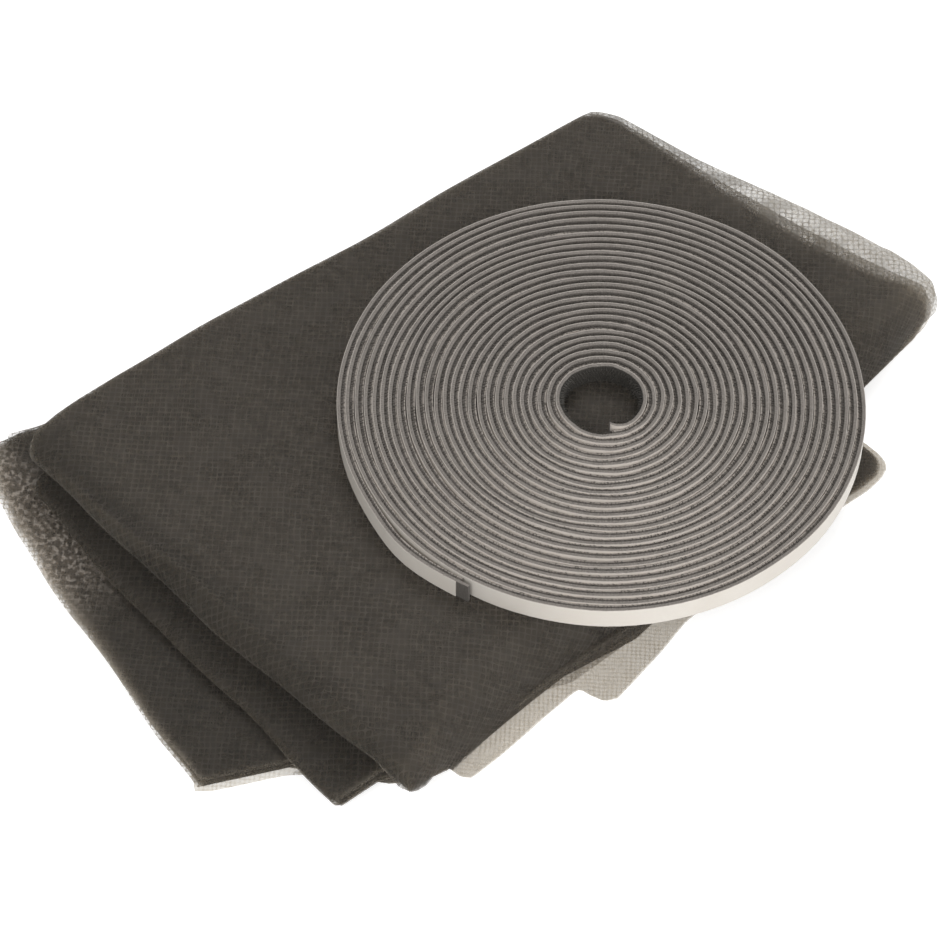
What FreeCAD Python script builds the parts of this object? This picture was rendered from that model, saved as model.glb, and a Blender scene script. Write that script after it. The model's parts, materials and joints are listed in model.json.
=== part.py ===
import FreeCAD, Part
import math
import os

# A window insect net, folded into a packet, with a flat roll of hook tape lying on it. Sizes are in mm.
# X runs along the packet's long side, from the open end to the last fold, Y across it, and Z is up.
# While it is being built, the roll's centre is the plan's zero.

# The packet is the cloth folded in half three times, so it has eight leaves. One leaf is a bundle of
# many layers of cloth.
leaf_pitch = 2.0
leaf_gap = 0.25
leaf_count = 8
loose_thickness = 0.4

leaf_thickness = leaf_pitch - leaf_gap
packet_height = leaf_count * leaf_pitch - leaf_gap

# The last fold's axis, seen from above: the end on the +Y side and the end on the -Y side. The cloth's
# outermost layer, the skin, turns further out than the rest and stands off it as an open loop.
skin_thickness = 0.35
outer_fold_left = (64.5, 68.0)
outer_fold_right = (82.0, -27.0)
inner_fold_left = (62.0, 67.5)
inner_fold_right = (72.5, -28.5)

# The upper four leaves turn about one axis at the open end, and the two leaves under them about another.
upper_fold_left = (-97.0, 85.0)
upper_fold_right = (-94.5, -38.0)
upper_side_middle = (-30.0, 80.2)
middle_fold_left = (-102.5, 79.0)
middle_fold_right = (-107.5, -31.0)

# The ends of a fold are round in plan too, by this share of the fold's depth.
fold_end_round = 0.75

# The two lowest leaves are the cloth's free ends. They lie askew under the packet and stick out of it.
tail_back_corner = (-101.0, 94.0)
tail_side_corner = (-110.0, 83.0)
tail_tip = (-126.5, -4.0)
tail_front_corner = (-106.0, -15.5)
tail_inner_corner = (-93.0, -36.0)
tail_round = 5.0
tail_tip_round = 2.5
tail_slip = 1.6

# Only the skin of a free end reaches its outline. Its other layers end short of it, along these corners.
ragged_back_corner = (-91.0, 91.0)
ragged_side_corner = (-98.5, 80.0)
ragged_tip = (-122.5, -4.5)
ragged_front_corner = (-105.0, -15.0)

# The packet's -Y side leans in towards the top, between two places along it.
side_lean = 11.0
lean_near_x = -74.0
lean_far_x = 56.0

# A shallow groove on the top, along the inner side of the folded lip.
groove_left = (-98.7, 80.0)
groove_right = (-94.0, -8.0)
groove_radius = 1.6
groove_depth = 0.6

# One loose layer has slid out from under the packet's -Y side, in a narrow step and a wide one.
loose_start = (-83.0, -36.0)
loose_step_edge = -43.6
loose_flap_start = -47.5
loose_flap_edge = -50.5
loose_flap_middle_x = -8.0
loose_flap_middle_edge = -46.5
loose_flap_end = 45.0
loose_inside = -30.0
loose_round = 3.0

# The hook tape is wound from its hole outwards, anticlockwise seen from above, with its hooks inwards
# and its release liner outwards. The angles are those of the tape's two ends.
roll_radius = 60.0
turn_pitch = 1.96
turn_count = 25.88
tape_width = 6.0
tape_thickness = 0.75
liner_thickness = 0.15
start_angle = 237.0
chord_rise = 0.32
liner_short = 2.4


def rounded_wire(corners):
    """A closed plan wire through (x, y, radius) corners, each rounded by its own radius."""
    count = len(corners)
    runs = []
    for i in range(count):
        here = FreeCAD.Vector(corners[i][0], corners[i][1], 0)
        before = FreeCAD.Vector(*corners[i - 1][:2], 0)
        after = FreeCAD.Vector(*corners[(i + 1) % count][:2], 0)
        radius = corners[i][2]
        if radius == 0:
            runs.append((here, None, here))
            continue
        back = (before - here).normalize()
        forth = (after - here).normalize()
        half = back.getAngle(forth) / 2
        reach = radius / math.tan(half)
        centre = here + (back + forth).normalize() * (radius / math.sin(half))
        middle = centre + (here - centre).normalize() * radius
        runs.append((here + back * reach, middle, here + forth * reach))
    edges = []
    for i in range(count):
        start, middle, end = runs[i]
        if middle is not None:
            edges.append(Part.Arc(start, middle, end).toShape())
        following = runs[(i + 1) % count][0]
        edges.append(Part.LineSegment(end, following).toShape())
    return Part.Wire(edges)


def plate(corners, bottom, thickness):
    """A flat plate with the given plan corners."""
    face = Part.Face(rounded_wire(corners))
    face.translate(FreeCAD.Vector(0, 0, bottom))
    return face.extrude(FreeCAD.Vector(0, 0, thickness))


def leaf_bottom(number):
    """Height of the underside of a leaf, counted from 1 at the bottom."""
    return (number - 1) * leaf_pitch


def bend(start, end, lower, upper, round_ends, outside=0, thickness=leaf_thickness):
    """The round fold that joins two leaves, or some layers of it, this far inside its outer surface.

    It bulges to the left of the way from start to end.
    """
    start_point = FreeCAD.Vector(start[0], start[1], 0)
    along = FreeCAD.Vector(end[0], end[1], 0) - start_point
    outward = FreeCAD.Vector(-along.y, along.x, 0).normalize()
    bottom = leaf_bottom(lower) + outside
    top = leaf_bottom(upper) + leaf_thickness - outside
    middle = (bottom + top) / 2
    outer = (top - bottom) / 2
    inner = outer - thickness

    def at(out, height):
        return start_point + outward * out + FreeCAD.Vector(0, 0, height)

    section = Part.Wire([
        Part.Arc(at(0, middle - outer), at(outer, middle), at(0, middle + outer)).toShape(),
        Part.LineSegment(at(0, middle + outer), at(0, middle + inner)).toShape(),
        Part.Arc(at(0, middle + inner), at(inner, middle), at(0, middle - inner)).toShape(),
        Part.LineSegment(at(0, middle - inner), at(0, middle - outer)).toShape(),
    ])
    fold = Part.Face(section).extrude(along)
    if not round_ends:
        return fold
    far_start = start_point + outward * outer
    far_end = far_start + along
    corners = [
        (start_point.x, start_point.y, 0),
        (far_start.x, far_start.y, outer * fold_end_round),
        (far_end.x, far_end.y, outer * fold_end_round),
        (start_point.x + along.x, start_point.y + along.y, 0),
    ]
    return fold.common(plate(corners, bottom, top - bottom))


def sharp(*points):
    """Plan corners with no rounding."""
    return [(x, y, 0) for x, y in points]


def leaning_side(near_corner, far_corner, number):
    """Two plan corners that set a leaf's -Y edge in, by as much as the side leans at the leaf's top."""
    top = leaf_bottom(number) + leaf_thickness
    inset = side_lean * (1 - math.sqrt(1 - (top / packet_height) ** 2))
    slope = (far_corner[1] - near_corner[1]) / (far_corner[0] - near_corner[0])
    return [
        (x, near_corner[1] + slope * (x - near_corner[0]) + inset, 0)
        for x in (lean_near_x, lean_far_x)
    ]


def slipped(corners):
    """The lowest leaf's free end, which has slid a little."""
    return [(x + tail_slip, y - tail_slip, radius) for x, y, radius in corners]


def groove():
    """The round bar that presses the groove into the top."""
    start = FreeCAD.Vector(*groove_left, packet_height + groove_radius - groove_depth)
    along = FreeCAD.Vector(*groove_right, start.z) - start
    return Part.makeCylinder(groove_radius, along.Length, start, along)


def screen_net():
    """The folded cloth: leaves, the round folds that join them, and the loose layer."""
    outer_far = sharp(outer_fold_right, outer_fold_left)
    inner_far = sharp(inner_fold_right, inner_fold_left)
    upper_near = sharp(upper_side_middle, upper_fold_left, upper_fold_right)
    middle_near = sharp(middle_fold_left, middle_fold_right)
    tail_near = [
        (*tail_back_corner, tail_round),
        (*tail_side_corner, tail_round),
        (*tail_tip, tail_tip_round),
        (*tail_front_corner, 0),
        (*tail_inner_corner, 0),
    ]
    ragged_near = [
        (*ragged_back_corner, tail_round),
        (*ragged_side_corner, tail_round),
        (*ragged_tip, tail_tip_round),
        (*ragged_front_corner, 0),
        (*tail_inner_corner, 0),
    ]
    bundle_thickness = leaf_thickness - skin_thickness
    pieces = [
        plate(outer_far + slipped(tail_near), 0, skin_thickness),
        plate(inner_far + slipped(ragged_near), skin_thickness, bundle_thickness),
        plate(inner_far + tail_near, leaf_bottom(2), skin_thickness),
        plate(inner_far + ragged_near, leaf_bottom(2) + skin_thickness, bundle_thickness),
    ]
    for number in (3, 4):
        side = leaning_side(middle_fold_right, inner_fold_right, number)
        pieces.append(plate(inner_far + middle_near + side, leaf_bottom(number), leaf_thickness))
    for number in (5, 6, 7):
        side = leaning_side(upper_fold_right, inner_fold_right, number)
        pieces.append(plate(inner_far + upper_near + side, leaf_bottom(number), leaf_thickness))
    top_side = leaning_side(upper_fold_right, inner_fold_right, leaf_count)
    top_bottom = leaf_bottom(leaf_count)
    pieces += [
        plate(inner_far + upper_near + top_side, top_bottom, bundle_thickness),
        plate(outer_far + upper_near + top_side, top_bottom + bundle_thickness, skin_thickness),
        bend(outer_fold_left, outer_fold_right, 1, 8, True, 0, skin_thickness),
        bend(inner_fold_left, inner_fold_right, 1, 8, True, skin_thickness, bundle_thickness),
        bend(inner_fold_left, inner_fold_right, 2, 7, False),
        bend(inner_fold_left, inner_fold_right, 3, 6, False),
        bend(inner_fold_left, inner_fold_right, 4, 5, False),
        bend(upper_fold_right, upper_fold_left, 5, 8, True),
        bend(upper_fold_right, upper_fold_left, 6, 7, False),
        bend(middle_fold_right, middle_fold_left, 3, 4, True),
        loose_layer(),
    ]
    return pieces[0].fuse(pieces[1:]).cut(groove()).removeSplitter()


def loose_layer():
    """The thin layer that shows beyond the packet's -Y side."""
    return plate(
        [
            (*loose_start, 0),
            (loose_start[0], loose_step_edge, loose_round),
            (loose_flap_start, loose_step_edge, 0),
            (loose_flap_start, loose_flap_edge, loose_round),
            (loose_flap_middle_x, loose_flap_middle_edge, 0),
            (loose_flap_end, loose_flap_edge, loose_round),
            (loose_flap_end, loose_inside, 0),
        ],
        0,
        loose_thickness,
    )


def turn_radius(angle):
    """Radius of the roll's outer surface where the tape has wound through this angle."""
    return roll_radius - turn_pitch * (turn_count - angle / (2 * math.pi))


def tape_angles(last):
    """Angles wound from the tape's inner end, in steps whose chords all rise about as much."""
    angles = [0.0]
    while angles[-1] < last:
        step = 2 * math.acos(1 - chord_rise / turn_radius(angles[-1]))
        angles.append(min(angles[-1] + step, last))
    return angles


def wound_strip(angles, outside, thickness):
    """A strip on edge along the winding, its outer face this far inside the roll's outer surface."""

    def at(angle, depth):
        turned = math.radians(start_angle) + angle
        radius = turn_radius(angle) - depth
        return FreeCAD.Vector(radius * math.cos(turned), radius * math.sin(turned), packet_height)

    outer = [at(angle, outside) for angle in angles]
    inner = [at(angle, outside + thickness) for angle in angles]
    outline = outer + inner[::-1] + outer[:1]
    face = Part.Face(Part.makePolygon(outline))
    return face.extrude(FreeCAD.Vector(0, 0, tape_width))


def hook_tape():
    """The tape's woven backing, wound on edge."""
    angles = tape_angles(2 * math.pi * turn_count)
    return wound_strip(angles, liner_thickness, tape_thickness)


def release_liner():
    """The paper on the tape's sticky side. It ends a little short of the tape."""
    wound = 2 * math.pi * turn_count
    last = wound - liner_short / roll_radius
    angles = [angle for angle in tape_angles(wound) if angle < last] + [last]
    return wound_strip(angles, 0, liner_thickness)


def main():
    os.makedirs("parts", exist_ok=True)
    nodes = {
        "screen_net": screen_net(),
        "hook_tape": hook_tape(),
        "release_liner": release_liner(),
    }
    box = Part.makeCompound(list(nodes.values())).BoundBox
    to_origin = FreeCAD.Vector(-box.Center.x, -box.Center.y, -box.ZMin)
    for name, shape in nodes.items():
        shape.translate(to_origin)
        shape.exportStep(f"parts/{name}.step")
        print(name, len(shape.Solids), round(shape.Volume, 1), shape.isValid())
    print("size", round(box.XLength, 2), round(box.YLength, 2), round(box.ZLength, 2))
    print("roll centre", round(to_origin.x, 3), round(to_origin.y, 3))
    print("tape length", round(nodes["hook_tape"].Volume / tape_thickness / tape_width, 1))


main()
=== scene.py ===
import json
import math

import bpy
import numpy as np
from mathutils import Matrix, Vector

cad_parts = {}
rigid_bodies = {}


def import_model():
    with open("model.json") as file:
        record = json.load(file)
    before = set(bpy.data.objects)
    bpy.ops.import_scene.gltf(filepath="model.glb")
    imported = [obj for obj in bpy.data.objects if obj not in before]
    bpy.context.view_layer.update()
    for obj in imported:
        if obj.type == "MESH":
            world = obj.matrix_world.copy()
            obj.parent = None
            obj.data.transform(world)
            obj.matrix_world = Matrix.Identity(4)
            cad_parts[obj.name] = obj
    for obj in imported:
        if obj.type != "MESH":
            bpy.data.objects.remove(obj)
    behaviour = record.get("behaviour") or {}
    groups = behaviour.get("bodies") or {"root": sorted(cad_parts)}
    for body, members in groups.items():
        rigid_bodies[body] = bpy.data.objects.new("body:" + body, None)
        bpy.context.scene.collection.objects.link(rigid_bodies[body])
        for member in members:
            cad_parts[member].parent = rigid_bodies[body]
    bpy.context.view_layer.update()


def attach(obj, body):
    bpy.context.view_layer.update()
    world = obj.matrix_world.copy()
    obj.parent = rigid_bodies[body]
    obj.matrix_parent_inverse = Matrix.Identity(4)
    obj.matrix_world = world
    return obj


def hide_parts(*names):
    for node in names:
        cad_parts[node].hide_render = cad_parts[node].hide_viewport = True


# A folded insect screen net with a flat roll of hook tape on it. Sizes are in mm and are turned to metres
# when a mesh is made. Plan positions are measured from the roll's centre, as in the part's source.

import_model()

MM = 0.001
roll_x = 18.232
roll_y = -17.63


def finish_mesh(name, points, faces, uvs=None, sharp_angle=None):
    """A mesh object from plan points in mm. Its UVs, one per face corner, are in mm of cloth or tape."""
    mesh = bpy.data.meshes.new(name)
    placed = (np.asarray(points, float) + (roll_x, roll_y, 0.0)) * MM
    faces = np.asarray(faces, np.int32)
    corners = faces.shape[1]
    mesh.vertices.add(len(placed))
    mesh.vertices.foreach_set("co", placed.astype(np.float32).ravel())
    mesh.loops.add(faces.size)
    mesh.loops.foreach_set("vertex_index", faces.ravel())
    mesh.polygons.add(len(faces))
    mesh.polygons.foreach_set("loop_start", np.arange(0, faces.size, corners, dtype=np.int32))
    mesh.polygons.foreach_set("use_smooth", np.full(len(faces), True))
    if uvs is not None:
        layer = mesh.uv_layers.new(name="flat_cut")
        layer.data.foreach_set("uv", (np.asarray(uvs, float) * MM).astype(np.float32).ravel())
    mesh.update(calc_edges=True)
    mesh.validate()
    if sharp_angle:
        mesh.set_sharp_from_angle(angle=math.radians(sharp_angle))
    piece = bpy.data.objects.new(name, mesh)
    bpy.context.scene.collection.objects.link(piece)
    return piece


def table(*pairs):
    """A line through (place, value) pairs, straight between them, as a function."""
    pairs = sorted(pairs)
    places = [place for place, _ in pairs]
    values = [value for _, value in pairs]
    return lambda at: np.interp(at, places, values)


def ramp(value, start, end):
    """0 up to start, 1 from end on, smooth between."""
    share = np.clip((value - start) / (end - start), 0, 1)
    return share * share * (3 - 2 * share)


def ridge(away, width):
    """1 on a line, falling off to both sides of it."""
    return np.exp(-(away / width) ** 2)


def sine(first, second, term):
    """A sine of two places, from the rate of each and a phase."""
    first_rate, second_rate, phase = term
    return np.sin(first * first_rate + second * second_rate + phase)


def waves(first, second, terms):
    """The sum of some sines, each with its size."""
    return sum(size * sine(first, second, term) for size, term in terms)


def lengths(points):
    """Length along some plan points, up to each of them."""
    return np.concatenate([[0], np.cumsum(np.hypot(*np.diff(points, axis=0).T))])


# The packet. The cloth is 1.3 m wide, folded to and fro in 11 layers, and that bundle is folded in half three
# times along its 1.5 m, into eight leaves.
leaf_count = 8
layer_count = 11
layer_step = 0.155
leaf_pitch = 2.0
leaf_middle = 0.875
packet_height = 15.75

# Order of the leaves along the cloth. Leaf 1 is the lowest. Every other one runs towards the last fold.
leaf_order = [1, 8, 5, 4, 3, 6, 7, 2]
outward_leaves = (1, 5, 3, 7)


def leaf_height(leaf):
    """Height of a leaf's middle."""
    return (leaf - 1) * leaf_pitch + leaf_middle


# Edges of the packet in plan, each as a value of y for a place x, or of x for a place y.
left_edge = table((-97, 84.0), (-90, 84.8), (-84, 84.9), (-72, 84.5), (-50, 82.6), (-27, 79.9), (-5, 77.0),
                  (18.6, 74.5), (42, 71.7), (60.6, 69.6), (66, 68.4), (90, 66))
right_edge = table((-99, -40.8), (-92, -40.6), (-86, -39.4), (-80, -38.4), (-60, -37.6), (-48, -37.4),
                   (-28.5, -38.4), (0, -36.4), (30, -32.4), (60, -27.7), (80, -25.2), (90, -24.4))
middle_left_edge = table((-106, 78.0), (-98, 81.5), (-84, 84.4), (-72, 84.5), (-50, 82.6), (-5, 77.0),
                         (42, 71.7), (66, 68.4), (90, 66))
middle_right_edge = table((-110, -30.5), (-96, -32.3), (-90, -36.5), (-84, -38.6), (-48, -37.4),
                          (-28.5, -39.5), (0, -36.8), (30, -32.4), (60, -27.7), (80, -25.2), (90, -24.4))
tail_left_edge = table((-112, 91.5), (-107, 94.4), (-101, 95.8), (-96, 95.2), (-91, 93.2), (-85, 91.3),
                       (-60, 86.4), (-27, 80.5), (18.6, 74.5), (42, 71.7), (66, 68.4), (90, 66))
tail_right_edge = table((-127, -4.5), (-106, -15.5), (-99, -26.5), (-93, -36.0), (-84, -38.4), (-48, -38.0),
                        (-28.5, -41.5), (0, -37.6), (30, -32.8), (60, -27.7), (80, -25.2), (90, -24.4))
upper_fold_line = table((-41, -95.3), (-33, -94.6), (-9, -96.1), (22.7, -97.4), (39.5, -97.8), (56.6, -97.9),
                        (74.5, -97.4), (85, -96.8))
middle_fold_line = table((-31, -107.4), (-14.4, -107.2), (16.3, -105.5), (38.5, -105.2), (59.6, -103.9),
                         (79, -102.4))
tail_line = table((-4, -126.2), (11, -124.6), (36, -120.3), (61, -115.5), (78, -112.0), (88, -108.4),
                  (94, -102.5))
far_fold_line = table((-31, 78.0), (-24, 76.5), (-18, 73.2), (-10, 70.5), (-1, 69.0), (8, 67.0), (25, 65.4),
                      (40, 64.4), (55, 63.0), (68, 61.6))
far_span = (-25.5, 68.0)

# The lowest two leaves, the next two and the upper four have outlines of their own: the line of their ends at
# the open end and its span in y, and their -Y and +Y edges.
tail_outline = (tail_line, (-4.5, 93.5), tail_right_edge, tail_left_edge)
middle_outline = (middle_fold_line, (-30.5, 79.0), middle_right_edge, middle_left_edge)
upper_outline = (upper_fold_line, (-40.6, 84.2), right_edge, left_edge)
outlines = [tail_outline] * 2 + [middle_outline] * 2 + [upper_outline] * 4

# The outermost layer of the last fold stands off the others as an open loop, by this much.
loop_reach = table((-29, 2.5), (-24, 4.6), (-18, 8.2), (-12, 9.7), (-1, 9.6), (10, 9.4), (21, 7.6), (32, 5.4),
                   (42, 3.6), (54, 2.6), (68, 1.8))
loop_share = {0: 1.0, 1: 0.42, 2: 0.12}

# The free ends are ragged: few layers reach the outline, and the rest end short of it.
ragged = table((-4, 1.6), (20, 3.0), (45, 7.0), (65, 12.5), (80, 14.5), (94, 15.0))
ragged_share = [0.0, 0.5, 0.9, 0.25, 1.0, 0.65, 0.12, 0.8, 0.35, 0.95, 0.05]

# The packet's -Y side leans in towards the top, as a quarter of an ellipse. A leaf leans as far as the
# ellipse does a little above the leaf's middle.
lean_reach = table((-100, 3.0), (-93, 5.0), (-80, 9.0), (-55, 11.0), (40, 11.0), (66, 8.0), (78, 5.0),
                   (90, 3.0))
lean_rise = 0.8


def lean(x, z):
    """How far the -Y side has leant in at a height."""
    return lean_reach(x) * (1 - np.sqrt(np.clip(1 - (z / packet_height) ** 2, 0, 1)))


# How far the two edges of each layer have slipped, and how far each layer has turned, in radians. The very
# top one keeps to the outline.
slip_most = 0.4
slip_shares = (0.6, 1.0)
turn_most = 0.05
random = np.random.default_rng(7)
edge_slip = random.uniform(-slip_most, slip_most, (leaf_count, layer_count, 2)) * slip_shares
edge_slip[leaf_count - 1, 0] = 0
cloth_turn = random.uniform(-turn_most, turn_most, (leaf_count, layer_count))


def near_place(leaf, across, layer):
    """x of a leaf's end at the open end of the packet."""
    line, (low, high), _, _ = outlines[leaf - 1]
    y = low + (high - low) * across
    x = line(y)
    if leaf == 1:
        x = x + ragged(y) * ragged_share[layer]
    if leaf == 2:
        x = x + ragged(y) * ragged_share[layer_count - 1 - layer]
    return x


def far_place(leaf, across, layer):
    """x of a leaf's end at the last fold."""
    low, high = far_span
    y = low + (high - low) * across
    x = far_fold_line(y)
    if leaf in (1, leaf_count):
        x = x + loop_reach(y) * loop_share.get(layer, 0.0)
    return x


def edge_place(leaf, x, across, layer):
    """y at a place along a leaf, this share of the way across it."""
    _, _, right, left = outlines[leaf - 1]
    right_slip, left_slip = edge_slip[leaf - 1, layer]
    start = right(x) + lean(x, leaf_height(leaf) + lean_rise) + right_slip
    return start * (1 - across) + (left(x) + left_slip) * across


# Grid rows, along the cloth. Each run is a leaf or the round fold between two leaves.
leaf_rows = {1: 34, 2: 22, 3: 20, 4: 18, 5: 18, 6: 16, 7: 18, 8: 72}
fold_rows = {(1, 8): 18, (8, 5): 16, (5, 4): 8, (4, 3): 10, (3, 6): 10, (6, 7): 8, (7, 2): 12}

# Grid columns, across the cloth: most on the layers that show. They crowd towards both edges.
first_columns = {0: 50, 1: 26}
other_columns = 13
crowding = 0.72

# A fold's corners are round in plan, with this share of its radius. The -Y corners of the upper folds are
# nearly sharp.
fold_corner = 0.75
sharp_corner = 0.2


def across_shares(layer):
    """Grid columns of one layer, from its -Y edge to its +Y edge."""
    even = np.linspace(0, 1, first_columns.get(layer, other_columns) + 1)
    return even - crowding * np.sin(2 * math.pi * even) / (2 * math.pi)


def cloth_point(run, along, across, layer):
    """Plan place, height and flat position of the cloth in one run, for arrays of shares along and across."""
    offset = (layer - (layer_count - 1) / 2) * layer_step
    if isinstance(run, int):
        outward = run in outward_leaves
        near = near_place(run, across, layer)
        far = far_place(run, across, layer)
        share = along if outward else 1 - along
        x = near + (far - near) * share
        y = edge_place(run, x, across, layer)
        z = leaf_height(run) + (offset if outward else -offset)
        return x, y, z, x
    first, second = run
    upper = max(run)
    lower = min(run)
    at_far = first in outward_leaves
    middle = (leaf_height(upper) + leaf_height(lower)) / 2
    radius = (leaf_height(upper) - leaf_height(lower)) / 2
    # At the last fold the bundle's first layer is outermost where the run climbs, and innermost where it goes
    # down. At the open end it is the other way round.
    climbs = second > first
    outside = -offset if climbs == at_far else offset
    angle = math.pi * along
    if not climbs:
        angle = math.pi - angle
    risen = (1 - np.cos(angle)) / 2
    place = far_place if at_far else near_place
    axis_upper = place(upper, across, layer)
    axis_lower = place(lower, across, layer)
    axis = axis_lower + (axis_upper - axis_lower) * risen
    y_upper = edge_place(upper, axis, across, layer)
    y_lower = edge_place(lower, axis, across, layer)
    y = y_lower + (y_upper - y_lower) * risen
    _, _, right, left = outlines[upper - 1]
    inset = np.minimum(across, 1 - across) * (left(axis) - right(axis))
    corner = radius * fold_corner
    if upper > 4:
        corner = corner * (sharp_corner + (1 - sharp_corner) * across)
    dip = np.clip(corner - inset, 0, corner)
    cut_off = (1 - np.sqrt(np.clip(1 - (dip / corner) ** 2, 0, 1))) * corner / radius
    reach = radius + outside
    out = reach * np.sin(angle) * (1 - cut_off)
    x = axis + (out if at_far else -out)
    z = middle - reach * np.cos(angle)
    flat = axis_upper + (1 if at_far else -1) * radius * (math.pi - angle)
    return x, y, z, flat


# The roll presses the top flat as far as the first of these distances from its centre. Past the second the
# top is free to wave.
pressed_to = 57.0
free_from = 67.0

# Waves of the top, each a height and two sines of x and y.
top_waves = (
    (0.32, (0.061, 0.022, 0.6), (-0.017, 0.055, 1.1)),
    (0.14, (0.16, -0.07, 0.0), (0.0, 0.13, 0.4)),
)

# Waves of the sides, sines of x and z, and of the open end, sines of y and z.
side_waves = ((0.5, (0.045, 0.55, 0.0)), (0.35, (0.11, 0.9, 1.0)))
right_side_share = 0.8
left_side_share = 0.45
end_waves = ((0.5, (0.07, 0.4, 0.0)), (0.3, (0.17, 0.0, 2.0)))

# A shallow groove runs along the top just inside the folded lip, and dies away to the right. A low bead lies
# beside it.
groove_line = table((-38, -91.0), (-2, -92.6), (28, -95.0), (43, -97.0), (71, -98.6), (85, -99.2))
groove_depth = table((-38, 0.15), (-8, 0.45), (15, 0.8), (60, 0.9), (85, 0.4))
groove_width = 1.15
bead_away = 2.6
bead_height = 0.35
bead_width = 1.6
# A crease crosses the top on the right, along a slanting line.
crease_place = -52.0
crease_slope = -0.18
crease_depth = 0.25
crease_width = 0.9

loop_sag = 0.9
low_leaves_top = 8.2
low_droop = 0.24
tip_drop = 0.25
corner_lift = 1.8
lowest = 0.03


def shaped(x, y, z):
    """The packet's small unevenness, the same for every layer near a place, so that layers stay in order."""
    free = ramp(np.hypot(x, y), pressed_to, free_from)
    top = ramp(z, 6, 15)
    wave = sum(height * sine(x, y, one) * sine(x, y, other) for height, one, other in top_waves)
    past_groove = x - groove_line(y)
    groove = -groove_depth(y) * ridge(past_groove, groove_width)
    bead = bead_height * ridge(past_groove + bead_away, bead_width)
    past_crease = x - crease_place - crease_slope * y
    crease = -crease_depth * ridge(past_crease, crease_width) * ramp(y, 30, 10)
    up = top * free * (wave + groove + bead + crease)
    # The loop of the last fold sags a little, because nothing holds it up.
    up = up - loop_sag * ramp(x - far_fold_line(y), 1, 10) * ramp(z, 8, 15)
    # The low leaves droop where they stick out of the packet.
    droop = 1 - ramp(x, -93, -103) * np.where(z < low_leaves_top, low_droop, 0.0)
    # So does the folded lip's front corner.
    tip = ramp(y, -29, -40) * ramp(x, -85, -94) * ramp(z, 4, 7)
    # The far corner of the slid leaves stands up a little.
    lifted = corner_lift * ramp(y, 80, 92) * ramp(x, -93, -101)
    height = z * droop + lifted + up - tip * np.clip(15 - z, 0, 7) * tip_drop
    side = waves(x, z, side_waves)
    right_side = right_side_share * ramp(y, -20, -36)
    left_side = left_side_share * ramp(y, 62, 78)
    y = y + side * (right_side - left_side)
    x = x + waves(y, z, end_waves) * ramp(x, -80, -100)
    return x, y, np.maximum(height, lowest)


def screen_net():
    """The whole cloth as one mesh, folded to and fro across and in half three times along."""
    runs = []
    for i, leaf in enumerate(leaf_order):
        runs.append((leaf, np.linspace(0, 1, leaf_rows[leaf] + 1)))
        if i + 1 < len(leaf_order):
            pair = (leaf, leaf_order[i + 1])
            runs.append((pair, np.linspace(0, 1, fold_rows[pair] + 1)))
    patches = loose_patches()
    points = []
    faces = []
    corners = []
    grids = []
    count = 0
    for layer in range(layer_count):
        shares = across_shares(layer)
        if layer % 2:
            shares = shares[::-1]
        rows_of_layer = []
        hung = []
        for run, steps in runs:
            along, across = np.meshgrid(steps, shares, indexing="ij")
            x, y, z, flat = cloth_point(run, along, across, layer)
            block = np.stack(shaped(x, y, z), -1)
            leaf = run if isinstance(run, int) else max(run)
            way = block[..., 0] if isinstance(run, int) else flat
            rows_of_layer.append((block, cut_place(way, block[..., 1], leaf, layer)))
            # The margin hangs from the top leaf and from the upper half of the folds at both its ends.
            edge = block[:, -1 if layer % 2 else 0]
            if run == (1, 8):
                hung.append(edge[len(edge) // 2:-1])
            if run == 8:
                hung.append(edge)
            if run == (8, 5):
                hung.append(edge[1:len(edge) // 2 + 2])
        if layer < hung_layers:
            patches.append(hanging_edge(np.concatenate(hung), layer))
        # Rows where two runs meet are shared.
        grid = np.concatenate([rows_of_layer[0][0]] + [block[1:] for block, _ in rows_of_layer[1:]])
        place = np.concatenate([rows_of_layer[0][1]] + [texture[1:] for _, texture in rows_of_layer[1:]])
        ids = grid_ids(grid, count)
        points.append(grid.reshape(-1, 3))
        count += ids.size
        start = 0
        for block, texture in rows_of_layer:
            faces.append(grid_faces(ids[start:start + len(block)]))
            corners.append(grid_corners(texture))
            start += len(block) - 1
        grids.append((ids, place))
    # The small turns at the sides join each layer to the next.
    for (ids, place), (next_ids, _) in zip(grids, grids[1:]):
        faces.append(grid_faces(np.stack([ids[:, -1], next_ids[:, 0]], 1)))
        side = place[:, -1:]
        corners.append(grid_corners(np.concatenate([side, side + (2 * layer_step, 0)], 1)))
    for block, texture in patches:
        ids = grid_ids(block, count)
        points.append(block.reshape(-1, 3))
        count += ids.size
        faces.append(grid_faces(ids))
        corners.append(grid_corners(texture))
    return finish_mesh("folded_net", np.concatenate(points), np.concatenate(faces), np.concatenate(corners))


def grid_ids(grid, count):
    """Numbers of a grid's points, where this many came before them."""
    rows, columns = grid.shape[:2]
    return count + np.arange(rows * columns).reshape(rows, columns)


def grid_faces(ids):
    """Quads between the points of a grid."""
    return np.stack([ids[:-1, :-1], ids[:-1, 1:], ids[1:, 1:], ids[1:, :-1]], -1).reshape(-1, 4)


def grid_corners(texture):
    """The flat place of each corner of those quads."""
    quads = [texture[:-1, :-1], texture[:-1, 1:], texture[1:, 1:], texture[1:, :-1]]
    return np.stack(quads, -2).reshape(-1, 2)


# Steps on the flat cloth from one layer to the next and from one leaf to the next.
layer_cut = 140.0
leaf_cut = 190.0
leaf_cut_shift = 3.7


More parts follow.
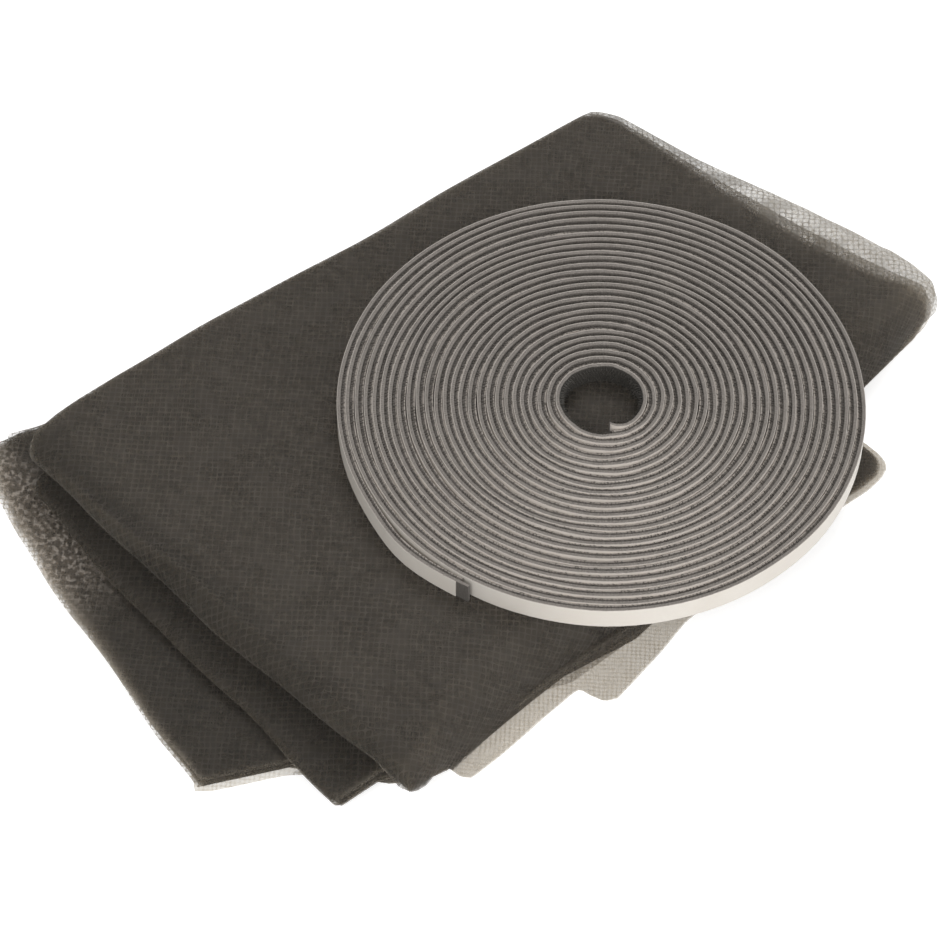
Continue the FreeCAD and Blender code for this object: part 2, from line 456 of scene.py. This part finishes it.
def cut_place(way, y, leaf, layer):
    """Place on the flat cloth, turned a little from layer to layer as the folding has left it."""
    turn = cloth_turn[leaf % leaf_count, layer]
    along = way * math.cos(turn) - y * math.sin(turn)
    across = way * math.sin(turn) + y * math.cos(turn)
    return np.stack([across + layer_cut * layer + leaf_cut_shift * leaf, along + leaf_cut * leaf], -1)


# The margins of the top layers hang over the packet's -Y side.
hung_layers = 5
hung_rows = 15
hung_foot = table((-99.5, 11.8), (-98, 10.8), (-96, 9.2), (-94, 7.8), (-88, 8.0), (-85.5, 5.0), (-83.5, 1.0),
                  (-60, 0.7), (20, 0.8), (60, 1.9), (90, 2.4))
hung_out = 0.5
hung_layer_in = 0.16
hung_layer_up = 0.12
belly_out = 0.35
belly_up = 0.12
foot_waves = ((0.35, (0.09, 0.0, 0.0)), (0.3, (0.023, 0.0, 1.0)))
pucker_depth = 0.22
pucker_long = (0.083, 0.0, 0.0)
pucker_short = (0.31, 3.0, 0.0)


def hanging_edge(top_edge, layer):
    """The margin of one of the top layers, from the top's -Y edge down to its foot."""
    drop = np.linspace(0, 1, hung_rows)[:, None]
    x, y, z = (top_edge[None, :, axis] for axis in range(3))
    foot = right_edge(x) - hung_out + waves(x, 0, foot_waves) + hung_layer_in * layer
    low = hung_foot(x) + hung_layer_up * layer
    angle = drop * math.pi / 2
    belly = np.sin(angle * 2)
    plan_y = foot + (y - foot) * (1 - np.sin(angle)) - belly_out * belly
    height = low + (np.maximum(z, low) - low) * np.cos(angle) + belly_up * belly
    pucker = pucker_depth * sine(x, drop, pucker_short) * sine(x, drop, pucker_long) * np.sin(angle)
    block = np.stack([x + 0 * drop, plan_y - pucker, height], -1)
    steps = np.linalg.norm(np.diff(block, axis=0), axis=-1)
    run = np.concatenate([np.zeros_like(x), np.cumsum(steps, axis=0)])
    return block, cut_place(block[..., 0], y - run, leaf_count, layer)


# The loose layer that has slid out under the -Y side, in a narrow step and a wide one.
step_line = [(-83.0, -38.0), (-82.6, -42.0), (-81.0, -43.6), (-72.0, -43.7), (-50.0, -42.7), (-47.9, -43.0),
             (-47.3, -46.0), (-46.2, -49.0), (-43.5, -50.4), (-30.0, -48.6), (-18.0, -46.2), (-8.0, -46.3),
             (10.0, -47.4), (30.0, -48.2), (38.5, -48.9), (43.2, -48.6), (46.0, -47.6), (47.4, -46.0),
             (48.0, -43.4), (48.0, -39.6), (47.6, -36.0)]
# More layers lie at the end of the wide one.
flap_line = [(12.0, -46.0), (30.0, -46.8), (38.5, -47.6), (43.0, -47.4), (45.2, -46.4), (46.4, -44.8),
             (46.9, -42.6), (46.9, -39.6), (46.5, -36.0)]
# One layer ends a little short of it, so it is darker beside the packet.
inner_line = [(-54.0, -38.0), (-48.0, -40.6), (-30.0, -41.6), (-18.0, -41.0), (-8.0, -41.2), (6.0, -42.4),
              (18.0, -44.6), (30.0, -46.0), (40.0, -46.6)]
# A thin fringe shows beside the lowest leaves' ends.
fringe_line = [(-127.2, -5.2), (-124.0, -8.0), (-116.0, -12.4), (-109.5, -16.2), (-104.5, -20.5)]

floor_gap = 0.06
step_levels = (floor_gap, 0.22)
inner_level = 0.34
flap_levels = [inner_level + 0.12 * number for number in range(8)]

# The flat place of the layers that lie alone starts here, past the rest of the cloth's.
loose_cut = 3000.0
loose_scale = 1.35

# The strips start this far inside the packet. Each one above another ends a little short of it.
patch_inside = -26.0
patch_near = -80.0
fringe_inside = (9.0, 14.0)
patch_fan = (-0.16, 0.22)
patch_step = 1.2
patch_rows = 9
ripple_height = 0.25
ripple_short = 0.35
ripple_long = 0.13


def loose_patches():
    """Strips of a few layers that show beyond the packet, each a grid from inside the packet to its edge."""
    groups = (
        (step_line, 45.0, step_levels, loose_cut),
        (flap_line, 44.0, flap_levels, 0.0),
        (inner_line, 40.0, (inner_level,), loose_cut),
        (fringe_line, None, (floor_gap,), loose_cut),
    )
    found = []
    for line, inside_end, levels, cut_start in groups:
        places = np.array(line)
        length = lengths(places)
        at = np.linspace(0, length[-1], int(length[-1] / patch_step))
        outer = np.stack([np.interp(at, length, places[:, 0]), np.interp(at, length, places[:, 1])], -1)
        for number, level in enumerate(levels):
            edge = outer + np.array(patch_fan) * number
            inner = edge + fringe_inside
            if inside_end is not None:
                inner[:, 0] = np.clip(edge[:, 0], patch_near, inside_end)
                inner[:, 1] = patch_inside
            share = np.linspace(0, 1, patch_rows)[:, None, None]
            plan = inner * (1 - share) + edge * share
            x = plan[..., 0]
            ripple = ripple_height * np.sin(x * ripple_short + number) * np.sin(x * ripple_long)
            height = level + np.maximum(ripple, 0) * share[..., 0]
            block = np.concatenate([plan, height[..., None]], -1)
            texture = cut_place(x, plan[..., 1], len(line), number)
            found.append((block, texture * loose_scale + (cut_start, 0)))
    return found


# The roll. Its formula is that of the part's source.
full_turn = 2 * math.pi
roll_radius = 60.0
turn_pitch = 1.96
turn_count = 25.88
start_angle = math.radians(237.0)
end_angle = full_turn * turn_count + 0.05
# The tape is wound a little looser than that formula, and the roll has slid a little on the net.
loosened = 1.0125
roll_slip = (0.68, 0.39)
roll_bottom = packet_height
tape_width = 6.0
tape_gap = 0.06
liner_thickness = 0.15
liner_gap = 0.02
liner_short = 3.1
backing_thickness = 0.7
backing_top = liner_thickness + backing_thickness
hook_height = 1.15
rings_per_turn = 110
bed_rings_per_turn = 140
sharp_edge = 55
# The tape's top edges are rounded this far, by way of a point this far in and down.
edge_round = 0.12
edge_bend = (0.04, 0.03)

# Unevenness of the winding's radius and of the tape's height: sizes, each with its rate along the winding.
radius_wander = ((0.2, 1.37), (0.13, 3.1), (0.08, 9.7))
height_wander = ((0.2, 1.9), (0.12, 5.3), (0.07, 17.0))
radius_seed = 3
height_seed = 5
second_rate = 0.37
height_most = 0.25
# The last turn has loosened a little before its end, and the inner end is bent in.
bulge_height = 0.9
bulge_place = 0.3
bulge_width = 0.17
bend_depth = 1.5
bend_length = 0.5


def unevenness(angle, seed, sizes):
    """A smooth wander along the winding, in mm."""
    rng = np.random.default_rng(seed)
    total = np.zeros_like(angle)
    for size, rate in sizes:
        phase = rng.uniform(0, full_turn, 3)
        total += size * np.sin(angle * rate + phase[0]) * np.sin(angle * rate * second_rate + phase[1])
    return total


def winding_radius(angle):
    """Radius of the roll's outer surface where the tape has wound through an angle."""
    return roll_radius - turn_pitch * (turn_count - angle / full_turn)


def wound_length(angle):
    """Length of tape wound up to an angle."""
    return (roll_radius - turn_pitch * turn_count) * angle + turn_pitch * angle ** 2 / (2 * full_turn)


def winding(angle):
    """The same radius with the real roll's unevenness, and how far the tape's top has sunk there."""
    inside = ramp(angle, end_angle, end_angle - 6) * ramp(angle, 0, 4)
    radius = winding_radius(angle) + inside * unevenness(angle, radius_seed, radius_wander)
    radius = radius + bulge_height * ridge(end_angle - bulge_place - angle, bulge_width)
    radius = radius - bend_depth * np.clip(1 - angle / bend_length, 0, 1) ** 2
    height = unevenness(angle, height_seed, height_wander)
    return radius, np.clip(height, -height_most, height_most) - height_most


def wound(angle, depth, height):
    """Points on the winding, this deep inside its outer surface and this high on the tape."""
    radius, lift = winding(angle)
    radius = radius * loosened - depth
    turned = start_angle + angle
    x = roll_slip[0] + radius * np.cos(turned)
    y = roll_slip[1] + radius * np.sin(turned)
    return np.stack([x, y, roll_bottom + height + lift * (height / tape_width)], -1)


# Only the points of a section above this height are rough.
rough_above = 1.0
rough_seed = 21


def wound_strip(name, angle, section, rough=0.0):
    """A closed strip along the winding with a section of (depth, height) points. Its top may be rough."""
    rng = np.random.default_rng(rough_seed)
    rings = []
    for depth, height in section:
        wander = rough * rng.uniform(-1, 1, len(angle)) * (height > rough_above)
        rings.append(wound(angle, depth, height + wander))
    rings = np.stack(rings, 1)
    count, corners = rings.shape[:2]
    ids = np.arange(count * corners).reshape(count, corners)
    after = np.roll(ids, -1, axis=1)
    quads = np.stack([ids[:-1], ids[1:], after[1:], after[:-1]], -1).reshape(-1, 4)
    run = lengths(rings[:, 0, :2])
    around = lengths(np.array(section + section[:1]))
    flat = np.stack([np.repeat(run[:, None], corners + 1, 1), np.repeat(around[None], count, 0)], -1)
    uv = np.stack([flat[:-1, :-1], flat[1:, :-1], flat[1:, 1:], flat[:-1, 1:]], -2).reshape(-1, 2)
    caps = []
    for ring, order in ((ids[0], 1), (ids[-1], -1)):
        for i in range(1, corners // 2):
            caps.append([ring[i - 1], ring[i], ring[corners - 1 - i], ring[corners - i]][::order])
    quads = np.concatenate([quads, np.array(caps)])
    uv = np.concatenate([uv, np.zeros((len(caps) * 4, 2))])
    return finish_mesh(name, rings.reshape(-1, 3), quads, uv, sharp_angle=sharp_edge)


def hook_tape():
    """The tape's woven backing, with rounded top edges."""
    angle = np.linspace(0, end_angle, int(turn_count * rings_per_turn))
    outside = liner_thickness
    inside = backing_top
    top = tape_width
    bend_in, bend_down = edge_bend
    section = [(outside, tape_gap), (outside, top - edge_round), (outside + bend_in, top - bend_down),
               (outside + edge_round, top), (inside - edge_round, top),
               (inside - bend_in, top - bend_down), (inside, top - edge_round), (inside, tape_gap)]
    return wound_strip("wound_tape", angle, section)


def release_liner():
    """The paper on the tape's outer side, which ends a little short of it."""
    angle = np.linspace(0, end_angle - liner_short / roll_radius, int(turn_count * rings_per_turn))
    top = tape_width - liner_gap
    section = [(0.0, liner_gap), (0.0, top), (liner_thickness, top), (liner_thickness, liner_gap)]
    return wound_strip("wound_liner", angle, section)


# The bed's top slopes up from the tape that carries it to the next turn in, and is rough.
bed_bottom = 0.3
bed_tops = (5.1, 5.25, 5.4, 5.45)
bed_shoulder = 0.25
bed_roughness = 0.16
bed_short = 0.04


def hook_bed():
    """The mass of the hooks between two turns, below the tape's top edge."""
    angle = np.linspace(full_turn, end_angle - bed_short, int(turn_count * bed_rings_per_turn))
    low = backing_top
    high = turn_pitch - tape_gap
    middle = (low + high) / 2
    depths = (low, middle - bed_shoulder, middle + bed_shoulder, high)
    section = [(low, bed_bottom), *zip(depths, bed_tops), (high, bed_bottom)]
    return wound_strip("tape_hook_bed", angle, section, bed_roughness)


# A hook's path: depth as a share of its height, and its bend along the tape and upwards in mm.
hook_path = [(0.0, 0.0, 0.0), (0.85, 0.06, 0.05), (1.0, 0.4, -0.12)]
hook_sides = 3
hook_thickness = 0.12
hook_row_wander = 0.15
hook_step_wander = 0.2
shortest_hook = 0.86
hook_end = 0.03
hook_margin = 0.02
inner_end = 0.05
# Heights of the rows on the first turn, and of the top rows on the rest.
deep_rows = (1.2, 2.3, 3.4, 4.4, 5.3)
top_rows = (5.05, 5.4)


def hooks(name, first, last, rows, spacing, seed):
    """Rows of small bent hooks on the tape's inner side, between two angles of the winding."""
    rng = np.random.default_rng(seed)
    angles = [first]
    while angles[-1] < last - hook_margin:
        angles.append(angles[-1] + spacing / winding_radius(angles[-1]))
    row_count = len(rows)
    count = len(angles) * row_count
    height = np.tile(rows, len(angles)) + rng.uniform(-hook_row_wander, hook_row_wander, count)
    angle = np.repeat(angles, row_count)
    radius = winding_radius(angle)
    stagger = np.tile(np.arange(row_count) % 2, len(angles)) * 0.5
    stagger = stagger + rng.uniform(-hook_step_wander, hook_step_wander, count)
    angle = np.clip(angle + stagger * spacing / radius, hook_end, end_angle - hook_end)
    lean_way = np.where(rng.random(count) < 0.5, 1.0, -1.0)
    tall = hook_height * rng.uniform(shortest_hook, 1.0, count)
    rings = []
    for depth, shift, rise in hook_path:
        for side in range(hook_sides):
            around = full_turn * side / hook_sides
            place = angle + (lean_way * shift + hook_thickness * math.cos(around)) / radius
            level = height + rise + hook_thickness * math.sin(around)
            rings.append(wound(place, backing_top + depth * tall, level))
    points = np.stack(rings, 1)
    ids = np.arange(count * len(rings)).reshape(count, len(hook_path), hook_sides)
    after = np.roll(ids, -1, axis=2)
    quads = []
    for ring in range(len(hook_path) - 1):
        for side in range(hook_sides):
            low = [ids[:, ring, side], after[:, ring, side]]
            high = [after[:, ring + 1, side], ids[:, ring + 1, side]]
            quads.append(np.stack(low + high, -1))
    return finish_mesh(name, points.reshape(-1, 3), np.concatenate(quads))


# Materials. Every colour, weave and grain is made by nodes. Scales of noises are per metre.


class Nodes:
    """Short ways to add nodes to a material."""

    def __init__(self, name):
        self.material = bpy.data.materials.new(name)
        self.material.use_nodes = True
        self.tree = self.material.node_tree
        self.tree.nodes.clear()
        self.output = self.tree.nodes.new("ShaderNodeOutputMaterial")

    def add(self, kind, **settings):
        node = self.tree.nodes.new("ShaderNode" + kind)
        for name, value in settings.items():
            setattr(node, name, value)
        return node

    def link(self, source, target):
        if isinstance(source, (int, float)):
            target.default_value = source
        else:
            self.tree.links.new(source, target)

    def math(self, operation, *values, clamp=False):
        node = self.add("Math", operation=operation, use_clamp=clamp)
        for i, value in enumerate(values):
            self.link(value, node.inputs[i])
        return node.outputs[0]

    def parts(self, vector):
        """The parts of a vector along x and y."""
        node = self.add("SeparateXYZ")
        self.link(vector, node.inputs[0])
        return node.outputs["X"], node.outputs["Y"]

    def objects(self):
        return self.add("TexCoord").outputs["Object"]

    def flat_place(self):
        """Place on the flat cloth, or along a strip and round its section."""
        return self.add("UVMap", uv_map="flat_cut").outputs["UV"]

    def noise(self, vector, scale, detail=2.0, roughness=0.5):
        node = self.add("TexNoise")
        self.link(vector, node.inputs["Vector"])
        node.inputs["Scale"].default_value = scale
        node.inputs["Detail"].default_value = detail
        node.inputs["Roughness"].default_value = roughness
        return node.outputs["Fac"]

    def mix(self, factor, first, second):
        node = self.add("Mix", data_type="RGBA")
        self.link(factor, node.inputs[0])
        for value, socket in ((first, node.inputs[6]), (second, node.inputs[7])):
            if isinstance(value, tuple):
                socket.default_value = (*value, 1.0)
            else:
                self.link(value, socket)
        return node.outputs[2]

    def spread(self, value, low, high):
        """0 at low, 1 at high, smooth between."""
        node = self.add("MapRange", interpolation_type="SMOOTHSTEP")
        self.link(value, node.inputs["Value"])
        node.inputs["From Min"].default_value = low
        node.inputs["From Max"].default_value = high
        return node.outputs["Result"]

    def spread_mm(self, value, limits):
        return self.spread(value, limits[0] * MM, limits[1] * MM)

    def bump(self, height, distance, strength):
        node = self.add("Bump")
        self.link(height, node.inputs["Height"])
        node.inputs["Distance"].default_value = distance
        node.inputs["Strength"].default_value = strength
        return node.outputs["Normal"]

    def principled(self, colour, roughness):
        node = self.add("BsdfPrincipled")
        self.link(colour, node.inputs["Base Color"])
        node.inputs["Roughness"].default_value = roughness
        return node

    def blend(self, factor, first, second):
        node = self.add("MixShader")
        self.link(factor, node.inputs[0])
        self.link(first.outputs[0], node.inputs[1])
        self.link(second.outputs[0], node.inputs[2])
        return node

    def surface(self, shader):
        self.tree.links.new(shader.outputs[0], self.output.inputs["Surface"])
        return self.material


# The net's lattice, in mm and in shares of its pitch.
hole_pitch = 1.35
hole_radius = 0.36
hole_roundness = 3.0
thread_middle = 0.47
thread_cover = 0.84
wander_share = 0.5
sway_share = 1.5

thread_dark = (0.088, 0.079, 0.0685)
thread_light = (0.1055, 0.0955, 0.0835)
thread_stroke = (0.144, 0.128, 0.11)
# The next two colours are painted: shade for the packet's open end, and highlights for the specks.
thread_shaded = (0.03, 0.028, 0.024)
painted_glint_colour = (0.6, 0.54, 0.48)
glow_dark = (0.5, 0.445, 0.365)
glow_light = (0.56, 0.5, 0.41)
glow_alone = (0.95, 0.885, 0.78)

# Where the loop of the last fold lies, the open end, and the corner of it where few layers stick out.
loop_x = (88.0, 100.0)
open_x = (-72.0, -80.0)
few_x = (-78.0, -86.0)
few_y = (20.0, 45.0)
# At the open end the two lowest leaves lie before this place on the flat cloth.
low_leaves_cut = 440.0


def net_material():
    """Knitted net: a lattice of fine fuzzy thread at 45 degrees to the cloth's edges, open between."""
    m = Nodes("net")
    place = m.flat_place()
    across, along = m.parts(place)
    objects = m.objects()
    x, y = m.parts(objects)
    per_hole = 1 / (hole_pitch * MM * math.sqrt(2))
    u = m.math("MULTIPLY", across, per_hole)
    v = m.math("MULTIPLY", along, per_hole)
    wander = m.math("SUBTRACT", m.noise(place, 260.0, 0.0), 0.5)
    sway = m.math("SUBTRACT", m.noise(place, 38.0, 0.0), 0.5)
    shift = m.math("ADD", m.math("MULTIPLY", wander, wander_share), m.math("MULTIPLY", sway, sway_share))
    # 0 in the middle of a hole, 0.5 on a thread. Corners of a hole are round.
    powers = []
    for operation in ("ADD", "SUBTRACT"):
        diagonal = m.math("ADD", m.math(operation, u, v), shift)
        centred = m.math("ABSOLUTE", m.math("SUBTRACT", m.math("FRACT", diagonal), 0.5))
        powers.append(m.math("POWER", centred, hole_roundness))
    out = m.math("POWER", m.math("ADD", *powers), 1 / hole_roundness)
    rise = m.spread(out, hole_radius, thread_middle)
    # Fuzz fills the holes, in some patches more than in others, and most where a layer lies alone.
    patch = m.spread(m.noise(place, 170.0, 0.0), 0.35, 0.65)
    slid = m.math("GREATER_THAN", across, loose_cut * MM)
    alone = m.math("MAXIMUM", slid, m.math("MULTIPLY", m.spread_mm(x, loop_x), 0.85))
    haze = m.math("MAXIMUM", m.math("MULTIPLY_ADD", patch, 0.3, 0.25), m.math("MULTIPLY", alone, 0.5))
    # The thread is thick in short strokes and thin between them.
    strokes = m.spread(m.noise(place, 480.0, 1.0), 0.36, 0.64)
    thread_rise = m.math("MULTIPLY", rise, m.math("MULTIPLY_ADD", strokes, 0.5, 0.5))
    cover = m.math("MULTIPLY_ADD", thread_rise, m.math("SUBTRACT", thread_cover, haze), haze)
    tone = m.noise(objects, 90.0, 1.0)
    colour = m.mix(m.spread(tone, 0.3, 0.7), thread_dark, thread_light)
    colour = m.mix(m.math("MULTIPLY", strokes, 0.75), colour, thread_stroke)
    # At the open end the thread is darkened as painted shade, and where few layers stick out the crossings
    # get light specks, as painted highlights.
    few = m.math("MULTIPLY", m.spread_mm(x, few_x), m.spread_mm(y, few_y))
    few = m.math("MULTIPLY", few, m.math("LESS_THAN", along, low_leaves_cut * MM))
    painted_shade_open_end = m.math("SUBTRACT", m.spread_mm(x, open_x), few, clamp=True)
    colour = m.mix(m.math("MULTIPLY", painted_shade_open_end, 0.45), colour, thread_shaded)
    # The specks are painted highlights on the crossings.
    painted_glint = m.spread(m.noise(place, 820.0, 1.0), 0.48, 0.62)
    colour = m.mix(m.math("MULTIPLY", few, painted_glint), colour, painted_glint_colour)
    lit = m.principled(colour, 0.7)
    lit.inputs["Sheen Weight"].default_value = 0.1
    lit.inputs["Sheen Roughness"].default_value = 0.5
    # The fine thread lets some light through, browner than it came. So a single layer looks beige on white.
    through = m.add("BsdfTranslucent")
    m.link(m.mix(alone, m.mix(tone, glow_dark, glow_light), glow_alone), through.inputs["Color"])
    thread = m.blend(0.5, lit, through)
    return m.surface(m.blend(cover, m.add("BsdfTransparent"), thread))


rib_pitch = 0.62
rib_share = 0.35
tape_dark = (0.128, 0.113, 0.1)
tape_light = (0.174, 0.155, 0.139)
tape_fuzz = (0.24, 0.216, 0.194)
# The faces' own darker colour, used also as painted shade on the first turn's inner face.
tape_face_and_hole_shade = (0.035, 0.032, 0.027)


def tape_material():
    """Woven nylon backing: fine ribs across the tape, with a fuzzy cut edge."""
    m = Nodes("tape")
    run, around = m.parts(m.flat_place())
    objects = m.objects()
    ribs = m.math("SINE", m.math("MULTIPLY", run, full_turn / (rib_pitch * MM)))
    fuzz = m.noise(objects, 2600.0, 3.0, 0.6)
    patch = m.noise(objects, 120.0, 3.0)
    base = m.mix(m.spread(patch, 0.25, 0.75), tape_dark, tape_light)
    colour = m.mix(m.spread(fuzz, 0.3, 0.75), base, tape_fuzz)
    # Its two faces are darker than its cut edges. The inner face of the first turn is darkened further, as
    # painted shade of the hole.
    outer = m.math("LESS_THAN", around, (tape_width - 0.2) * MM)
    inner = m.math("GREATER_THAN", around, (tape_width + backing_thickness) * MM)
    first_turn = m.math("LESS_THAN", run, wound_length(full_turn) * MM)
    # Painted shade on the hole's wall.
    painted_hole_shade = m.math("MULTIPLY", inner, first_turn)
    dark = m.math("MAXIMUM", m.math("MULTIPLY", outer, 0.65), m.math("MULTIPLY", inner, 0.45))
    dark = m.math("MAXIMUM", dark, m.math("MULTIPLY", painted_hole_shade, 0.9))
    colour = m.mix(dark, colour, tape_face_and_hole_shade)
    shader = m.principled(colour, 0.6)
    shader.inputs["Sheen Weight"].default_value = 0.15
    height = m.math("ADD", m.math("MULTIPLY", ribs, rib_share), fuzz)
    m.link(m.bump(height, 0.12 * MM, 0.7), shader.inputs["Normal"])
    return m.surface(shader)


paper_dark = (0.745, 0.695, 0.63)
paper_light = (0.79, 0.75, 0.69)
paper_grain = (0.72, 0.66, 0.59)
# A flat colour for the paper of every turn but the last.
paper_earlier_turns = (0.8, 0.73, 0.665)
paper_cut = (0.36, 0.325, 0.29)
earlier_turns_end = end_angle - full_turn - 0.8
earlier_turns_fade = 4.0


def liner_material():
    """Siliconed paper, smooth and faintly mottled."""
    m = Nodes("liner")
    run, around = m.parts(m.flat_place())
    objects = m.objects()
    mottle = m.noise(objects, 60.0, 4.0, 0.6)
    grain = m.noise(objects, 1800.0, 2.0)
    base = m.mix(m.spread(mottle, 0.25, 0.75), paper_dark, paper_light)
    colour = m.mix(m.math("MULTIPLY", grain, 0.25), base, paper_grain)
    # The paper of every turn but the last is one flat colour, a little warmer than the last turn's.
    earlier_turns_length = wound_length(earlier_turns_end)
    earlier_turns_share = m.spread_mm(run, (earlier_turns_length + earlier_turns_fade, earlier_turns_length))
    colour = m.mix(earlier_turns_share, colour, paper_earlier_turns)
    # The paper's cut edge, on top, is darker than its face.
    face = tape_width - 2 * liner_gap
    past = m.math("GREATER_THAN", around, face * MM)
    before = m.math("LESS_THAN", around, (face + liner_thickness) * MM)
    colour = m.mix(m.math("MULTIPLY", past, before), colour, paper_cut)
    shader = m.principled(colour, 0.42)
    m.link(m.bump(grain, 0.03 * MM, 0.5), shader.inputs["Normal"])
    return m.surface(shader)


# The hooks of the first turn, in the hole, are painted darker than the rest, as painted shade.
hole_hooks_painted_shade = ((0.045, 0.041, 0.035), (0.08, 0.073, 0.063))
top_hook_colours = ((0.07, 0.062, 0.054), (0.13, 0.115, 0.101))


def hook_material(name, colours):
    """Nylon hooks, a little shiny."""
    m = Nodes(name)
    tone = m.noise(m.objects(), 900.0, 2.0)
    return m.surface(m.principled(m.mix(m.spread(tone, 0.3, 0.7), *colours), 0.45))


bed_dark = (0.05, 0.044, 0.038)
bed_light = (0.08, 0.071, 0.062)
bed_speckle = (0.175, 0.155, 0.137)
bed_painted_light = (0.39, 0.35, 0.313)
# The painted light lies between these places round the bed's section.
painted_light_around = (5.5, 5.75)


def bed_material():
    """Hooks so close together that they read as one rough mass."""
    m = Nodes("hook_bed")
    objects = m.objects()
    speckle = m.noise(objects, 2400.0, 3.0, 0.65)
    patch = m.noise(objects, 150.0, 2.0)
    base = m.mix(m.spread(patch, 0.3, 0.7), bed_dark, bed_light)
    colour = m.mix(m.spread(speckle, 0.35, 0.7), base, bed_speckle)
    # Near the next turn's paper the bed is painted lighter, as painted light in the shaded corner between two
    # turns.
    _, around = m.parts(m.flat_place())
    colour = m.mix(m.spread_mm(around, painted_light_around), colour, bed_painted_light)
    shader = m.principled(colour, 0.6)
    m.link(m.bump(speckle, 0.3 * MM, 0.9), shader.inputs["Normal"])
    return m.surface(shader)


# The floor and the backdrop look white, because they show brighter than the light that falls on them.
floor_lift = 0.56
floor_half = 6.0
floor_dark = (0.8, 0.8, 0.795)
floor_light = (0.82, 0.82, 0.815)


def floor_material():
    """Pale matt paper that keeps the shadow."""
    m = Nodes("floor")
    grain = m.noise(m.objects(), 4.0, 2.0)
    diffuse = m.add("BsdfDiffuse")
    m.link(m.mix(grain, floor_dark, floor_light), diffuse.inputs["Color"])
    glow = m.add("Emission")
    glow.inputs["Color"].default_value = (1, 1, 1, 1)
    rays = m.add("LightPath")
    seen = m.math("MAXIMUM", rays.outputs["Is Camera Ray"], rays.outputs["Is Glossy Ray"])
    seen = m.math("MAXIMUM", seen, rays.outputs["Is Transmission Ray"])
    m.link(m.math("MULTIPLY", seen, floor_lift), glow.inputs["Strength"])
    both = m.add("AddShader")
    m.link(diffuse.outputs[0], both.inputs[0])
    m.link(glow.outputs[0], both.inputs[1])
    return m.surface(both)


def dress(piece, material, slot, *nodes):
    """Give a piece its material, its body, and the nodes that it stands for. Its slot is not used."""
    piece.data.materials.append(material)
    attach(piece, "root")
    if nodes:
        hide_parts(*nodes)


def make_floor():
    """The paper that the part lies on."""
    mesh = bpy.data.meshes.new("floor")
    signs = ((-1, -1), (1, -1), (1, 1), (-1, 1))
    mesh.from_pydata([(x * floor_half, y * floor_half, 0) for x, y in signs], [], [(0, 1, 2, 3)])
    floor = bpy.data.objects.new("floor", mesh)
    floor.data.materials.append(floor_material())
    bpy.context.scene.collection.objects.link(floor)


world_colour = (1, 0.99, 0.975, 1)
world_strength = 0.36


def make_world():
    """Plain soft light all round, seen as white."""
    world = bpy.data.worlds.new("studio")
    world.use_nodes = True
    tree = world.node_tree
    tree.nodes.clear()
    out = tree.nodes.new("ShaderNodeOutputWorld")
    light = tree.nodes.new("ShaderNodeBackground")
    light.inputs["Color"].default_value = world_colour
    light.inputs["Strength"].default_value = world_strength
    white = tree.nodes.new("ShaderNodeBackground")
    white.inputs["Strength"].default_value = 1.0
    rays = tree.nodes.new("ShaderNodeLightPath")
    seen = tree.nodes.new("ShaderNodeMath")
    seen.operation = "MAXIMUM"
    tree.links.new(rays.outputs["Is Camera Ray"], seen.inputs[0])
    tree.links.new(rays.outputs["Is Transmission Ray"], seen.inputs[1])
    mix = tree.nodes.new("ShaderNodeMixShader")
    tree.links.new(seen.outputs[0], mix.inputs[0])
    tree.links.new(light.outputs[0], mix.inputs[1])
    tree.links.new(white.outputs[0], mix.inputs[2])
    tree.links.new(mix.outputs[0], out.inputs["Surface"])
    bpy.context.scene.world = world


# Name, place and size in metres, and power in watts.
lamps = (
    ("key", (0.6, 0.45, 1.0), 0.7, 5.1),
    ("fill", (-0.8, -0.5, 0.9), 0.9, 8.0),
    ("front", (0.15, -1.2, 0.55), 0.8, 4.8),
)


def make_lamp(name, place, size, power):
    """A round lamp that points at the part."""
    light = bpy.data.lights.new(name, "AREA")
    light.shape = "DISK"
    light.size = size
    light.energy = power
    lamp = bpy.data.objects.new(name, light)
    lamp.location = place
    lamp.rotation_euler = (-Vector(place)).to_track_quat("-Z", "Y").to_euler()
    bpy.context.scene.collection.objects.link(lamp)


sensor_width = 36.0
photo_width = 940
focal_pixels = 3600
camera_place = (-0.3470, -0.3653, 0.6633)
camera_elevation = 53
camera_turn = -43


def make_camera():
    """The photo's view."""
    lens = bpy.data.cameras.new("camera")
    lens.sensor_width = sensor_width
    lens.lens = sensor_width * focal_pixels / photo_width
    camera = bpy.data.objects.new("camera", lens)
    camera.location = camera_place
    camera.rotation_euler = (math.radians(90 - camera_elevation), 0, math.radians(camera_turn))
    bpy.context.scene.collection.objects.link(camera)
    bpy.context.scene.camera = camera


make_camera()
make_world()
make_floor()
for lamp in lamps:
    make_lamp(*lamp)

net = screen_net()
dress(net, net_material(), "net_cloth", "screen_net")
tape = hook_tape()
dress(tape, tape_material(), "tape", "hook_tape")
liner = release_liner()
dress(liner, liner_material(), "liner", "release_liner")
dress(hook_bed(), bed_material(), "tape")
# Five rows of hooks cover the first turn, which shows in the hole. On the rest only the top two rows show.
# The first turn's hooks are darker, as painted shade in the hole.
painted_shade_hooks = hook_material("painted_shade_hooks", hole_hooks_painted_shade)
top_hooks = hook_material("top_hooks", top_hook_colours)
dress(hooks("tape_hooks_inside", inner_end, full_turn, deep_rows, 0.8, 11), painted_shade_hooks, "tape")
dress(hooks("tape_hooks_top", full_turn, end_angle - hook_end, top_rows, 0.85, 12), top_hooks, "tape")

bpy.context.scene.view_settings.view_transform = "Standard"
